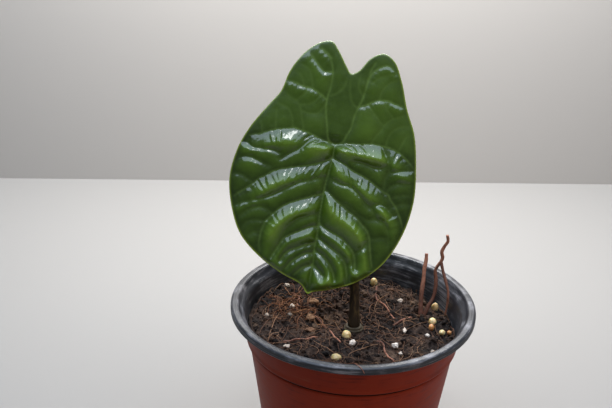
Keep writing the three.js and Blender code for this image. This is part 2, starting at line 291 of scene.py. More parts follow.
camera_data = bpy.data.cameras.new("camera")
camera_data.lens = LENS_MM
camera_data.sensor_width = 36
camera_data.clip_start = 0.01
camera = bpy.data.objects.new("camera", camera_data)
camera.matrix_world = Matrix(
    [[right[k], up[k], -forward[k], (CAMERA_FROM_RIM + [0, 0, RIM_Z])[k] * MM] for k in range(3)]
    + [[0, 0, 0, 1]]
)
bpy.context.scene.collection.objects.link(camera)
bpy.context.scene.camera = camera
print("rim", round(2 * float(RIM_RADIUS), 1), "mm across at", round(float(RIM_Z), 1), "mm")

# %% [markdown]
# ## Floor, backdrop and light
#
# A pale floor meets a pale wall behind the plant. One very large soft light hangs above and a little
# in front, as a bright sky would: it leaves the mix under the leaf dark and draws a cool sheen along
# every blister that slopes up to it. A small one adds the sharp white glints. One behind the plant
# lights the wall's foot. A weak warm one at the front right fills the pot's shadow and, because it
# isn't glossy, leaves no patch of its own on the waxy leaf. The paper can't be seen from behind, so
# the plant can be looked at from all round.

# %% Stage and lights
def studio_paper(name, colour):
    """Matt paper that is clear when it is looked at from behind."""
    sockets = {"Roughness": 0.9, "Specular_IOR_Level": 0.1, "Base_Color": linear(colour)}
    material, tree, shader = new_material(name, **sockets)
    back = add_node(tree, "ShaderNodeNewGeometry").outputs["Backfacing"]
    clear = add_node(tree, "ShaderNodeBsdfTransparent").outputs[0]
    one_sided = add_node(tree, "ShaderNodeMixShader", {0: back, 1: shader.outputs[0], 2: clear})
    tree.links.new(one_sided.outputs[0], tree.nodes["Material Output"].inputs["Surface"])
    return material


WALL_Y, STAGE, STAGE_HEIGHT = 366, 2600, 1400  # how far back the wall is, half the floor's width, height
WALL_TURN = np.tan(np.radians(2.5))  # the wall stands a little out of square


def stage_plane(name, corners_mm, colour):
    """A flat four-cornered sheet that isn't part of the object."""
    sheet = bpy.data.meshes.new(name)
    sheet.from_pydata([[c * MM for c in corner] for corner in corners_mm], [], [(0, 1, 2, 3)])
    sheet.materials.append(studio_paper(name + "_paper", colour))
    plane = bpy.data.objects.new(name, sheet)
    bpy.context.scene.collection.objects.link(plane)


floor_corners = [(-STAGE, -STAGE, 0), (STAGE, -STAGE, 0), (STAGE, STAGE, 0), (-STAGE, STAGE, 0)]
stage_plane("floor", floor_corners, "#908d89")
foot = [(x, WALL_Y + WALL_TURN * x) for x in (-STAGE, STAGE)]
wall_corners = [(*foot[0], 0), (*foot[1], 0), (*foot[1], STAGE_HEIGHT), (*foot[0], STAGE_HEIGHT)]
stage_plane("backdrop", wall_corners, "#a39f9a")


def area_light(name, place_mm, aim_mm, size_mm, watts, colour, glossy=True):
    """A rectangular soft light at a place, facing a point. A light that isn't glossy leaves no reflection."""
    lamp = bpy.data.lights.new(name, "AREA")
    lamp.shape = "RECTANGLE"
    lamp.size, lamp.size_y = size_mm[0] * MM, size_mm[1] * MM
    lamp.energy = watts
    lamp.color = linear(colour)[:3]
    light = bpy.data.objects.new(name, lamp)
    light.location = Vector(place_mm) * MM
    aim = Vector(aim_mm) * MM - light.location
    light.rotation_euler = aim.to_track_quat("-Z", "Y").to_euler()
    light.visible_camera = False
    light.visible_glossy = glossy
    bpy.context.scene.collection.objects.link(light)


area_light("softbox", (-10, -170, 880), (-10, -20, 130), (1250, 660), 8.8, "#d3e6ff")
area_light("spark", (-40, -260, 840), (-10, 0, 150), (100, 100), 0.65, "#ffffff")
area_light("back_light", (0, 250, 420), (0, 330, 40), (420, 160), 4.4, "#ffffff")
area_light("right_fill", (430, -460, 320), (0, 0, 60), (560, 460), 1.0, "#ffe0c4", glossy=False)

world = bpy.data.worlds.new("studio")
world.use_nodes = True
bpy.context.scene.world = world
sky = world.node_tree.nodes["Background"]
sky.inputs["Color"].default_value, sky.inputs["Strength"].default_value = linear("#dfe3e8"), 0.12
bpy.context.scene.view_settings.view_transform = "Standard"

# %% [markdown]
# ## The pot
#
# The real pot is sucked down over a mould from one sheet with two layers: black inside, terracotta
# red outside, so the rolled rim shows black all round. It is turned from one profile. The profile
# follows the CAD pot: flat base, tapering wall, a stacking groove under the collar, a small flare
# and the rolled rim. Fine ridges run round the rim, and the thin sheet isn't perfectly round, so the
# radius gets a slow wave of a few tenths of a millimetre.

# %% Pot profile
RIM_WIDTH, RIM_HEIGHT, FLARE = 3.75, 3.6, 1.6
WALL, FLOOR, BASE_ROUND, STEP_IN = 0.8, 1.2, 1.5, 0.7
TAPER, COLLAR, OVERHANG = 0.144, 17.8, 5.3
STEP_Z, UNDER_RIM = RIM_Z - COLLAR, RIM_Z - RIM_HEIGHT
WALL_TOP, INNER_RIM = RIM_RADIUS - OVERHANG, RIM_RADIUS - RIM_WIDTH
BASE_RADIUS = WALL_TOP - TAPER * UNDER_RIM
FOOT_RADIUS = BASE_RADIUS - STEP_IN
GROOVE = [  # height from the step and distance out from the wall
    (-2.6, -0.1), (-2.1, -0.3), (-1.9, -0.5), (-0.4, -0.55), (-0.2, -0.5), (-0.1, 0.7), (0.0, 0.25),
    (0.3, 0.35), (0.9, 0.3), (1.8, 0.05),
]


def wall_radius(z):
    """Outside radius of the wall: the base radius plus taper times height, less the step below the collar."""
    z = np.asarray(z, float)
    return BASE_RADIUS + TAPER * z - STEP_IN * (z < STEP_Z)


def on_wall(z, out=0.0):
    """A point of the outline at height z: the wall's radius there plus `out`."""
    return (float(wall_radius(z)) + out, float(z))


def pot_outline():
    """Outline points (radius, height) from the middle of the base, up the outside and down the inside."""
    outside = [
        (6, 0), (18, 0), (FOOT_RADIUS - BASE_ROUND - 1, 0), (FOOT_RADIUS - BASE_ROUND, 0.03),
        (FOOT_RADIUS - 0.45 * BASE_ROUND, 0.3), on_wall(1.1, -0.05), on_wall(2.2),
    ]
    outside += [on_wall(z) for z in np.linspace(8, STEP_Z - 4.5, 9)]
    outside += [on_wall(STEP_Z + up, out) for up, out in GROOVE]
    outside += [on_wall(z) for z in np.linspace(STEP_Z + 3, UNDER_RIM - FLARE, 4)]
    outside += [
        (WALL_TOP + r * FLARE, UNDER_RIM - z * FLARE) for r, z in [(0.12, 0.62), (0.42, 0.2), (1.0, 0)]
    ]
    outside += [(RIM_RADIUS - 0.9, UNDER_RIM + 0.02), (RIM_RADIUS - 0.3, UNDER_RIM + 0.2)]
    ridges = [
        (-0.02, 0.5), (0, 0.8), (-0.26, 1.12), (0, 1.45), (0, 1.75), (-0.3, 2.08), (-0.04, 2.4), (-0.1, 2.7),
    ]
    over = [(-0.35, -0.62), (-0.75, -0.28), (-1.3, -0.06), (-1.7, -0.16), (-2.0, -0.02), (-2.6, 0)]
    into = [(0.7, -0.1), (0.25, -0.35), (0, -0.9), (-0.25, -1.6), (-0.9, -2.5)]
    rim = [(RIM_RADIUS + r, UNDER_RIM + z) for r, z in ridges]
    rim += [(RIM_RADIUS + r, RIM_Z + z) for r, z in over] + [(INNER_RIM + r, RIM_Z + z) for r, z in into]
    rim += [(WALL_TOP + r, RIM_Z + z) for r, z in [(0.1, -3.1), (-0.35, -3.6), (-0.78, -4.2)]]
    inside = [on_wall(z, -WALL) for z in np.linspace(UNDER_RIM - 2, STEP_Z + 1.4, 4)]
    inside += [on_wall(STEP_Z + 0.5, -WALL - 0.143), on_wall(STEP_Z - 0.4, -WALL + 0.014)]
    inside += [on_wall(z, -WALL) for z in np.linspace(STEP_Z - 3, FLOOR + BASE_ROUND, 6)]
    inside += [on_wall(FLOOR, -WALL - BASE_ROUND), (18, FLOOR), (6, FLOOR)]
    return np.array(outside), np.array(rim), np.array(inside)


# %% [markdown]
# ### Pot plastics
#
# Both layers are high-impact polystyrene, formed against a blasted mould: a satin surface, IOR 1.59.
# The red layer is dusty and a little uneven in colour; its stacking groove is painted dark, as shade
# under the collar together with peat settled there. The black one shows dried water marks, pale scuffs
# along the rim and a film of peat dust, with streaks that run round the pot.

# %% Pot materials
def dusted_plastic(name, dark, body, dust, roughness, dust_from, gloss):
    """Satin polystyrene with cloudy dust: broad clouds 12 mm wide, and streaks 1 mm high and 15 mm long."""
    material, tree, shader = new_material(name, IOR=1.59, Specular_IOR_Level=gloss)
    clouds = object_noise(tree, 85.0, 6.0, 0.6)
    streaks = object_noise(tree, 60.0, 5.0, 0.7, (1.0, 1.0, 16.0))
    both = add_node(tree, "ShaderNodeMix", {"Factor": 0.55, "A": clouds, "B": streaks}).outputs[0]
    colour = ramp(tree, both, (0.36, dark), (0.5, body), (dust_from, body), (dust_from + 0.16, dust))
    rough = remap(tree, both, 0.35, 0.65, roughness - 0.07, roughness + 0.12)
    dress(tree, shader, colour, rough, (object_noise(tree, 900.0, 3.0), 0.12, 0.0003))
    return material


red_plastic = dusted_plastic("terracotta_polystyrene", "#681f10", "#882c15", "#88442f", 0.5, 0.57, 0.1)
# The groove's dark material is painted shade under the collar, together with peat settled in it.
groove_shade_and_dirt = dusted_plastic("shade_and_dirt_in_the_groove", "#200b06", "#33120a", "#4a2015", 0.7, 0.57, 0.1)
black_plastic = dusted_plastic("black_polystyrene", "#1b1c20", "#303135", "#8f8d91", 0.34, 0.505, 0.35)

# %% [markdown]
# ### Turning the pot
#
# The profile is carried round a circle. The drain holes are cut with a boolean of six drills, which
# is simpler than weaving round holes into the floor's grid by hand.

# %% Pot mesh
SECTORS = 180


def turned(outline):
    """The outline carried round Z, its radius plus a slow wave in mm that grows as (z / rim height) ** 6."""
    angle = np.linspace(0, 2 * np.pi, SECTORS, endpoint=False)
    r, z = outline[:, :1], outline[:, 1:]
    wave = 0.3 - 0.2 * np.cos(angle) + 0.1 * np.sin(2 * angle + 0.6) + 0.07 * np.sin(5 * angle + 2.0)
    r = r + wave * (z / RIM_Z) ** 6
    return np.stack([r * np.cos(angle), r * np.sin(angle), np.broadcast_to(z, r.shape)], -1)


outside, rim, inside = pot_outline()
pot = ring_piece(
    "nursery_pot_shell",
    turned(np.vstack([outside, rim, inside])),
    [[0, 0, 0], [0, 0, FLOOR]],
    [red_plastic, black_plastic, groove_shade_and_dirt],
    stands_for=["nursery_pot"],
    slot="pot_plastic",
)
RED, BLACK, GROOVE_SHADE_AND_DIRT = 0, 1, 2
layers = np.full(len(outside) + len(rim) + len(inside) - 1, RED, np.int32)
layers[len(outside) - 3 :] = BLACK
# The rows of the stacking groove take the dark material: painted shade under the collar, with settled peat.
layers[: len(outside) - 1][(outside[:-1, 1] > STEP_Z - 2) & (outside[1:, 1] < STEP_Z)] = GROOVE_SHADE_AND_DIRT
layers = np.append(layers, np.int32([RED, BLACK]))  # the two fans of the base come last
pot.data.polygons.foreach_set("material_index", np.repeat(layers, SECTORS))

# %% Drain holes
DRAINS, DRAIN_RADIUS, DRAIN_RING = 6, 4.0, 22.0
drill_mesh = bmesh.new()
for k in range(DRAINS):
    turn = 2 * np.pi * k / DRAINS
    centre = Vector((DRAIN_RING * np.cos(turn), DRAIN_RING * np.sin(turn), 0.5 * FLOOR)) * MM
    bmesh.ops.create_cone(
        drill_mesh, cap_ends=True, segments=32, radius1=DRAIN_RADIUS * MM, radius2=DRAIN_RADIUS * MM,
        depth=4 * FLOOR * MM, matrix=Matrix.Translation(centre),
    )
drill_data = bpy.data.meshes.new("drills")
drill_mesh.to_mesh(drill_data)
drill_mesh.free()
drills = bpy.data.objects.new("drills", drill_data)
bpy.context.scene.collection.objects.link(drills)
cut = pot.modifiers.new("drain_holes", "BOOLEAN")
cut.operation, cut.solver, cut.object = "DIFFERENCE", "EXACT", drills
drilled = bpy.data.meshes.new_from_object(pot.evaluated_get(bpy.context.evaluated_depsgraph_get()))
pot.modifiers.clear()
pot.data = drilled
bpy.data.objects.remove(drills)
print("pot with drain holes:", len(pot.data.polygons), "faces")

# %% [markdown]
# ## The potting mix
#
# The mix is peat and coir. Its level is the CAD model's: a gentle slope, a hollow behind the stem, a
# mound on the left and a dip at the back right. On that level lie three sizes of clod, worked out
# as value noise: 6 mm heaps, 2.5 mm crumbs and 1.1 mm grit. Only its top shows, so the rings
# are close together there and few down the sides.

# %% Level of the mix
MIX_DEPTH, MIX_SLOPE = 11.5, 0.035


def bump(x, y, cx, cy, spread, height):
    """A round heap: height times e to the minus (distance / spread) squared."""
    return height * np.exp(-((x - cx) ** 2 + (y - cy) ** 2) / spread**2)


def mix_level(x, y):
    """Level from the rim's top: -depth - slope x + slow waves + hollow + mound + dip."""
    waves = 0.45 * np.sin(0.21 * x + 0.9) * np.cos(0.17 * y - 0.4)
    relief = bump(x, y, 3, 7, 13, -1.8) + bump(x, y, -22, 12, 12, 1.3) + bump(x, y, 38, 22, 14, -1.2)
    return -MIX_DEPTH - MIX_SLOPE * x + waves + relief


def tone_and_leaf_shadow(x, y):
    """Tone from -1 dark to 1 pale: slow noise, a paler patch on the left, painted leaf shadow in the middle.
    """
    painted_leaf_shadow, paler_left = bump(x, y, 6, 2, 12, 0.7), bump(x, y, -24, 2, 14, 0.5)
    return np.clip(value_noise(x, y, 13.0, 17) - painted_leaf_shadow + paler_left, -1, 1)


def mix_height(x, y):
    """The level plus clods of three sizes. Crumbs are 1 - 2 |noise|, which folds into sharp little crests."""
    heaps = 0.75 * value_noise(x, y, 6.0, 11)
    crumbs = 0.8 * (1 - 2 * np.abs(value_noise(x, y, 2.6, 12)))
    grit = 0.4 * value_noise(x, y, 1.1, 13) + 0.2 * value_noise(x, y, 0.55, 14)
    return RIM_Z + mix_level(x, y) + heaps + crumbs + grit - 0.5


# %% [markdown]
# ### What peat looks like
#
# Moist peat is nearly black brown and quite matt, with reddish fibres and paler flecks. The colour
# comes from noise at the size of a crumb, about 2 mm, mixed with finer flecks of about 0.5 mm.

# %% Potting mix materials
def crumbly(name, roughness, scale, *stops):
    """Matt organic matter, coloured along the stops by noise of 1 / scale metres and each lump's own tone."""
    material, tree, shader = new_material(name, Roughness=roughness, IOR=1.4, Specular_IOR_Level=0.3)
    noise = object_noise(tree, scale, 8.0, 0.72)
    mixed = add_node(tree, "ShaderNodeMix", {"Factor": 0.5, "A": noise, "B": attribute(tree, "tone")})
    dress(tree, shader, ramp(tree, mixed.outputs[0], *stops), relief=(noise, 0.7, 0.0006))
    return material


peat = crumbly(
    "moist_peat", 0.92, 700.0, (0.28, "#0b0706"), (0.45, "#1d1410"), (0.6, "#34261e"), (0.78, "#665242")
)
coir = crumbly("coir_fibre", 0.8, 500.0, (0.2, "#2c1c15"), (0.5, "#644636"), (0.8, "#a37e5d"))
orange_coir = crumbly("orange_coir_fibre", 0.8, 500.0, (0.2, "#3a2118"), (0.5, "#744a33"), (0.8, "#a87a55"))

# %% Potting mix mesh
TOP_RINGS, MIX_SECTORS, GAP = 120, 420, 0.3
wall_inside = float(wall_radius(RIM_Z - MIX_DEPTH)) - WALL - GAP
mix_angle = np.linspace(0, 2 * np.pi, MIX_SECTORS, endpoint=False)
mix_share = np.linspace(0.012, 1, TOP_RINGS)[:, None]
mix_x, mix_y = mix_share * wall_inside * np.cos(mix_angle), mix_share * wall_inside * np.sin(mix_angle)
settle = np.clip((mix_share - 0.93) / 0.07, 0, 1) ** 2  # the edge shrinks away from the wall
top_z = mix_height(mix_x, mix_y) - 1.2 * settle
side_z = np.array([STEP_Z - 1, 60, 30, 6, FLOOR + GAP])[:, None]
side_r = wall_radius(side_z - 1) - WALL - GAP
side_r[-1] -= BASE_ROUND
sides = [side_r * np.cos(mix_angle), side_r * np.sin(mix_angle), np.broadcast_to(side_z, (5, MIX_SECTORS))]
mix_rings = np.vstack([np.stack([mix_x, mix_y, top_z], -1), np.stack(sides, -1)])
mix = ring_piece(
    "potting_mix_body",
    mix_rings,
    [[0, 0, float(mix_height(0.0, 0.0))], [0, 0, FLOOR + GAP]],
    peat,
    stands_for=["potting_mix"],
    slot="potting_mix",
)
mix_x_y = np.vstack([mix_rings.reshape(-1, 3), np.zeros((2, 3))])[:, :2].T
# The tone carries painted shadow of the leaf over the middle of the mix.
set_attribute(mix, "tone", 0.48 + 0.3 * value_noise(*mix_x_y, 3.2, 15) + 0.2 * tone_and_leaf_shadow(*mix_x_y))

# %% [markdown]
# ### Crumbs
#
# Loose crumbs lie on the mix. Each is a little 20-sided lump, stretched, turned and dented at random,
# and hundreds share one mesh. Each lump stores a tone of its own, so neighbours differ.

# %% Lumps in one mesh
def icosphere(level):
    """Points and triangles of a ball of 20 * 4 ** (level - 1) faces, from Blender's own ball."""
    ball = bmesh.new()
    bmesh.ops.create_icosphere(ball, subdivisions=level, radius=1)
    points = np.array([v.co for v in ball.verts])
    faces = np.array([[v.index for v in f.verts] for f in ball.faces])
    ball.free()
    return points, faces


def random_turns(count, rng):
    """Rotation matrices from random unit quaternions."""
    q = rng.normal(size=(count, 4))
    w, x, y, z = (q / np.linalg.norm(q, axis=1, keepdims=True)).T
    rows = [
        [1 - 2 * (y * y + z * z), 2 * (x * y - z * w), 2 * (x * z + y * w)],
        [2 * (x * y + z * w), 1 - 2 * (x * x + z * z), 2 * (y * z - x * w)],
        [2 * (x * z - y * w), 2 * (y * z + x * w), 1 - 2 * (x * x + y * y)],
    ]
    return np.array(rows).transpose(2, 0, 1)


def lumps(name, centres, sizes, tones, material, level=1, dent=0.22, seed=0, **kwargs):
    """Each lump is centre + turn . (size * ball point * (1 + dent * random)). sizes are (count, 3) radii."""
    rng = np.random.default_rng(seed)
    ball, faces = icosphere(level)
    count = len(centres)
    shaped = ball * np.asarray(sizes)[:, None, :] * (1 + dent * rng.uniform(-1, 1, (count, len(ball), 1)))
    points = np.asarray(centres)[:, None, :] + np.einsum("nij,npj->npi", random_turns(count, rng), shaped)
    all_faces = (faces[None] + np.arange(count)[:, None, None] * len(ball)).reshape(-1, 3)
    piece = new_piece(name, points.reshape(-1, 3), [all_faces], material, smooth=False, **kwargs)
    set_attribute(piece, "tone", np.repeat(tones, len(ball)))


def scattered(count, rng, reach=0.97):
    """Even random places in a disc: radius = reach * edge * sqrt(random)."""
    r = reach * wall_inside * np.sqrt(rng.uniform(0, 1, count))
    a = rng.uniform(0, 2 * np.pi, count)
    return r * np.cos(a), r * np.sin(a)


def crumbs(name, count, low, high, tone_range, material, seed, sink=0.35, **kwargs):
    """Crumbs of radius low to high, mostly small, sunk into the mix by a share of their size."""
    rng = np.random.default_rng(seed)
    x, y = scattered(count, rng)
    size = low + (high - low) * rng.uniform(0, 1, count) ** 2.5
    z = mix_height(x, y) + size * (1 - 2 * sink)
    sizes = size[:, None] * rng.uniform(0.6, 1.1, (count, 3))
    # Crumb tones carry the same painted leaf shadow.
    tones = rng.uniform(*tone_range, count) + 0.2 * tone_and_leaf_shadow(x, y)
    lumps(name, np.stack([x, y, z], -1), sizes, tones, material, seed=seed, **kwargs)


crumbs("peat_crumbs_fine", 2000, 0.25, 0.8, (0.1, 0.9), peat, 21, slot="potting_mix")
crumbs("peat_crumbs_coarse", 420, 0.7, 2.0, (0.2, 0.85), peat, 22, slot="potting_mix")

# %% [markdown]
# ### Coir fibres and hair roots
#
# Coir fibres are springy, reddish brown and one to four tenths of a millimetre thick. Each is a
# short arc: it starts somewhere on the mix, turns steadily as it goes, and rises and falls once. All
# fibres are worked out together as one array of paths, then wrapped in thin five-sided tubes. Most lie
# anywhere; a denser, more orange tuft lies on the mound at the left.

# %% Fibres
def fibres(name, x, y, spans, material, seed, **kwargs):
    """Path k steps out from (x, y) by heading + turn * s; its height follows the mix plus lift * sin(pi s).
    spans are the least and most length, radius, lift and tone."""
    draws = (fibre_rng.uniform(*span, len(x)) for span in [(0, 2 * np.pi), *spans])
    heading, length, radius, lift, tones = draws
    rng = np.random.default_rng(seed)
    steps, count = 12, len(x)
    s = np.linspace(0, 1, steps)
    bend = rng.normal(0, 1.1, (count, 1)) * s + rng.normal(0, 0.5, (count, 1)) * np.sin(2 * np.pi * s)
    step = length[:, None] / (steps - 1)
    px = x[:, None] + np.cumsum(step * np.cos(heading[:, None] + bend), 1)
    py = y[:, None] + np.cumsum(step * np.sin(heading[:, None] + bend), 1)
    reach = np.hypot(px, py)
    pull = np.minimum(1, (wall_inside - 1.2) / reach)
    px, py = px * pull, py * pull
    base = mix_height(px, py)
    smooth_base = (base + np.roll(base, 1, 1) + np.roll(base, -1, 1)) / 3
    smooth_base[:, [0, -1]] = base[:, [0, -1]]
    pz = np.maximum(smooth_base, base - 0.2) + radius[:, None] + lift[:, None] * np.sin(np.pi * s)
    paths = np.stack([px, py, pz], -1)
    radii = radius[:, None] * (0.35 + 0.65 * np.sin(np.pi * np.linspace(0.12, 0.88, steps)))
    sides = 5
    rings = tube_rings(paths, radii, sides)
    points = np.concatenate([rings.reshape(count, -1, 3), paths[:, :1], paths[:, -1:]], 1)
    quads, fans = ring_faces(steps, sides)
    offset = np.arange(count)[:, None, None] * (steps * sides + 2)
    blocks = [(quads[None] + offset).reshape(-1, 4), (fans[None] + offset).reshape(-1, 3)]
    piece = new_piece(name, points.reshape(-1, 3), blocks, material, **kwargs)
    face_outward(piece)
    set_attribute(piece, "tone", np.repeat(tones, steps * sides + 2))


fibre_rng = np.random.default_rng(31)
FIBRES, TUFT_FIBRES, TUFT = 380, 80, (-27, 12)
fx, fy = scattered(FIBRES, fibre_rng, 0.95)
spans = [(4, 22), (0.06, 0.15), (0, 1.6), (0.1, 0.8)]
fibres("coir_fibres", fx, fy, spans, coir, 32, slot="potting_mix")

tx, ty = fibre_rng.normal(TUFT[0], 5.5, TUFT_FIBRES), fibre_rng.normal(TUFT[1], 6.5, TUFT_FIBRES)
spans = [(4, 16), (0.07, 0.2), (0.3, 2.6), (0.2, 0.9)]
fibres("coir_tuft", tx, ty, spans, orange_coir, 33, slot="potting_mix")

# %% [markdown]
# ## The leaf
#
# The blade is shield-shaped: the petiole joins its underside a third of the way down, two rounded
# lobes stand up behind it and a drip tip hangs in front. It is built in its own flat frame first, with
# X across, Y towards the lobes and Z out of the upper face, and then leaned and placed.
#
# Its margin is a closed smooth curve. The veins are smooth curves too, from the midrib or from the two
# basal veins out to the margin.

# %% Margin and veins of the leaf, in its own frame
MARGIN = smooth_path(
    [
        (0, -67), (-3.6, -63.5), (-12.2, -60.5), (-23.2, -55.1), (-33.5, -46.9), (-39.3, -36.7),
        (-43.1, -23.1), (-42, -9.9), (-38, 1.2), (-31.5, 12.3), (-27.6, 18.7), (-25.3, 28.2),
        (-20.7, 36.6), (-14.7, 42.3), (-9.5, 43.8), (-5.8, 40.3), (-1.2, 34.1), (1.3, 31.4),
        (4.3, 33.1), (8.7, 39.7), (14, 42.6), (19.1, 40.1), (23.9, 31.9), (28.4, 20.5),
        (33.6, 10.1), (37, -4), (38.7, -19), (36.4, -34.5), (29.9, -48.8), (20, -58.3),
        (8.3, -63.8), (2.2, -65.8),
    ],
    560,
    closed=True,
)

MIDRIB = [
    (0, -0.5), (0, -6.5), (-0.5, -13), (-1, -19), (-1, -24), (-1, -31), (-0.5, -38), (-0.5, -46.5), (0, -53),
    (0, -59), (0.5, -65),
]
BASAL = [
    [(0, -0.5), (-2, 0), (-3.5, 1.5), (-5, 7), (-7, 15.5), (-7, 19.5), (-6.5, 24), (-6.5, 29.5), (-8, 34.5),
     (-10, 38), (-13.5, 40)],
    [(0, -0.5), (2.5, 0.5), (3.5, 2), (4.5, 5), (5.5, 7.5), (6, 12.5), (7, 17), (8.5, 22.5), (9, 28),
     (9.5, 33.5), (11, 38)],
]
LEFT = [
    [(-0.5, -0.5), (-6, 0.5), (-9, 1.5), (-12.5, 2.5), (-15.5, 3), (-18.5, 3.5), (-22.5, 2.5), (-26.5, 1.5),
     (-30, 0), (-34, -2), (-38, -3)],
    [(-0.5, -7), (-4, -9), (-8, -11), (-12.5, -12.5), (-17.5, -14), (-23, -16), (-25.5, -17.5), (-27, -19),
     (-30, -21), (-32, -23.5), (-34.5, -26), (-37, -28), (-39.5, -30.5)],
    [(-1, -22.5), (-4.5, -24), (-7.5, -25.5), (-12.5, -28), (-16, -30), (-18.5, -32), (-20.5, -34.5),
     (-22, -36.5), (-23.5, -38.5), (-24.5, -41.5), (-25, -45), (-25, -48.5), (-24, -52.5)],
    [(-0.5, -37), (-4, -38), (-8, -40.5), (-11.5, -42.5), (-14.5, -45), (-16, -48), (-17, -50.5),
     (-18.5, -54)],
    [(-0.5, -44.5), (-4.5, -46), (-8, -48), (-11, -49.5), (-13, -52), (-14.5, -55)],
    [(0, -49), (-4.5, -50), (-7, -52), (-9.5, -54.5), (-11.5, -58)],
    [(-0.5, -54.5), (-4, -56), (-5.5, -57.5), (-7.5, -60)],
]
RIGHT = [
    [(0.5, -0.5), (6.5, 1), (11, 1.5), (16, 2.5), (19.5, 2.5), (23, 2.5), (27, 1.5), (30, 0), (33, -2),
     (36, -4.5)],
    [(-0.5, -6.5), (2.5, -7.5), (6, -8.5), (9.5, -10.5), (14.5, -12), (18, -13.5), (21.5, -15.5), (24.5, -17),
     (27, -18), (28.5, -20), (31, -22.5), (33, -25.5), (35, -29), (36.5, -33)],
    [(-0.5, -21.5), (1, -22), (4.5, -24.5), (8.5, -27), (12, -29), (15, -30.5), (18, -33), (20.5, -35),
     (22, -37.5), (23, -41), (24, -45), (25.5, -50)],
    [(-0.5, -35.5), (0.5, -36.5), (5, -38.5), (9.5, -40), (12.5, -42), (15.5, -44.5), (17.5, -48),
     (18.5, -53)],
    [(-0.5, -42), (3.5, -44), (7.5, -46), (11, -48), (13.5, -50.5), (15, -54), (16, -59)],
    [(-0.5, -48), (3.5, -49.5), (6.5, -52), (9, -55), (10.5, -59)],
    [(-0.5, -54), (3, -56), (5.5, -58.5)],
]
LOBE_VEINS = [
    [(-7, 18), (-10, 20), (-13.5, 21.5), (-15.5, 22), (-18.5, 22), (-21.5, 23), (-25, 23.5)],
    [(-7, 30.5), (-10.5, 30), (-12.5, 31.5), (-14.5, 33.5), (-17.5, 36.5)],
    [(-8.5, 36.5), (-11, 38), (-13.5, 39.5)],
    [(7.5, 17.5), (10.5, 19), (12.5, 20.5), (16, 22), (19.5, 22.5), (23, 21.5), (26.5, 21)],
    [(9, 28), (10, 32), (11.5, 34.5), (14, 36.5), (16.5, 37.5), (19, 36.5), (21.5, 34.5)],
]
FINE_VEINS = [
    [(-14.5, 3), (-16, 7.5), (-17, 10.5), (-18.5, 14), (-21, 16), (-23.5, 17), (-26, 19)],
    [(-19.5, 3.5), (-20.5, 7.5), (-22, 10.5), (-24, 12), (-28, 13)],
    [(-27, 1.5), (-27.5, 6), (-28, 10.5)],
    [(-32.5, -1), (-33.5, 3), (-35.5, 5.5)],
    [(-14, 22), (-15.5, 27), (-17, 30), (-20, 31.5), (-23, 32.5)],
    [(-18, 22), (-19.5, 26), (-22, 28), (-24.5, 28)],
    [(-16, 21.5), (-17.5, 18.5), (-20, 16)],
    [(-10, 19.5), (-11.5, 17.5), (-13.5, 15.5), (-18, 14)],
    [(-7, 16.5), (-8.5, 13.5), (-10.5, 11.5), (-13.5, 11), (-17, 11.5)],
    [(15.5, 2.5), (16.5, 5.5), (18.5, 9), (21, 13.5), (24, 15.5), (28.5, 18)],
    [(22, 2.5), (22.5, 7), (24, 10), (26.5, 12), (31, 13.5)],
    [(28, 2), (29, 5), (30, 8), (33, 10)],
    [(11, 19.5), (15, 15.5), (17.5, 13), (19.5, 11.5)],
    [(17.5, 22), (20, 18.5), (23, 15.5)],
    [(15.5, 22), (16, 26), (18, 29.5), (20.5, 31.5), (23.5, 32.5)],
    [(11, 28.5), (13.5, 31.5), (17.5, 33.5), (21, 34.5)],
    [(-6, 20), (-3, 22), (-0.5, 25.5), (0, 29)],
    [(1.5, 28.5), (2.5, 22.5), (4, 19), (6.5, 17)],
    [(5.5, 31), (5.5, 26.5), (8, 22.5)],
]
BRANCHES = [
    [(-11, 2), (-12, -1.5), (-14.5, -4.5), (-17, -6.5), (-20, -9), (-22.5, -11.5)],
    [(-23, -8.5), (-26.5, -7.5), (-31, -8), (-35.5, -8), (-38.5, -6.5), (-41, -6.5)],
    [(-26, -15), (-30, -14), (-33.5, -13), (-37.5, -12.5), (-40.5, -14), (-43, -17)],
    [(-32, -23.5), (-35.5, -22), (-38.5, -20.5), (-43, -21.5)],
    [(-2, -15.5), (-7.5, -17.5), (-12, -19.5), (-16, -22), (-20, -25), (-24.5, -28), (-30, -30.5),
     (-34.5, -32.5), (-39, -35)],
    [(-21.5, -35.5), (-24.5, -33.5), (-28, -33.5), (-31.5, -35), (-34, -37), (-36, -40)],
    [(-24, -39.5), (-27.5, -39), (-30.5, -40), (-32.5, -41.5), (-33.5, -44.5)],
    [(-25.5, -44), (-28, -44.5), (-29.5, -46), (-31, -49)],
    [(-1, -31.5), (-5.5, -33.5), (-10, -35.5), (-13, -39), (-15, -42.5), (-16, -47.5)],
    [(19.5, 2.5), (22, -0.5), (24.5, -4), (25.5, -7.5), (24.5, -11), (24.5, -15.5)],
    [(9, -6.5), (14, -6.5), (19, -7.5), (22, -7), (24.5, -5.5)],
    [(26, -8), (30.5, -7), (36.5, -5.5)],
    [(26, -17), (27.5, -14.5), (30, -12.5), (33, -12), (37.5, -11.5)],
    [(28.5, -19.5), (31, -18), (33.5, -17), (38, -17)],
    [(31, -22.5), (33.5, -21), (38, -20.5)],
    [(1, -15.5), (5.5, -17), (10, -17.5), (14, -20), (18, -23.5), (21.5, -26), (24, -30)],
    [(5, -24.5), (11.5, -26.5), (16.5, -29.5), (20, -30.5), (24.5, -29.5), (28, -31), (30, -34.5), (31, -40)],
    [(20, -24.5), (23.5, -23), (27, -24), (30.5, -27)],
    [(22, -38), (20.5, -42), (18.5, -45), (16.5, -47.5), (16.5, -51.5)],
    [(23, -39), (26, -37.5), (29.5, -37), (33.5, -38.5)],
]
print("veins:", 1 + len(BASAL + LEFT + RIGHT + LOBE_VEINS + FINE_VEINS + BRANCHES))

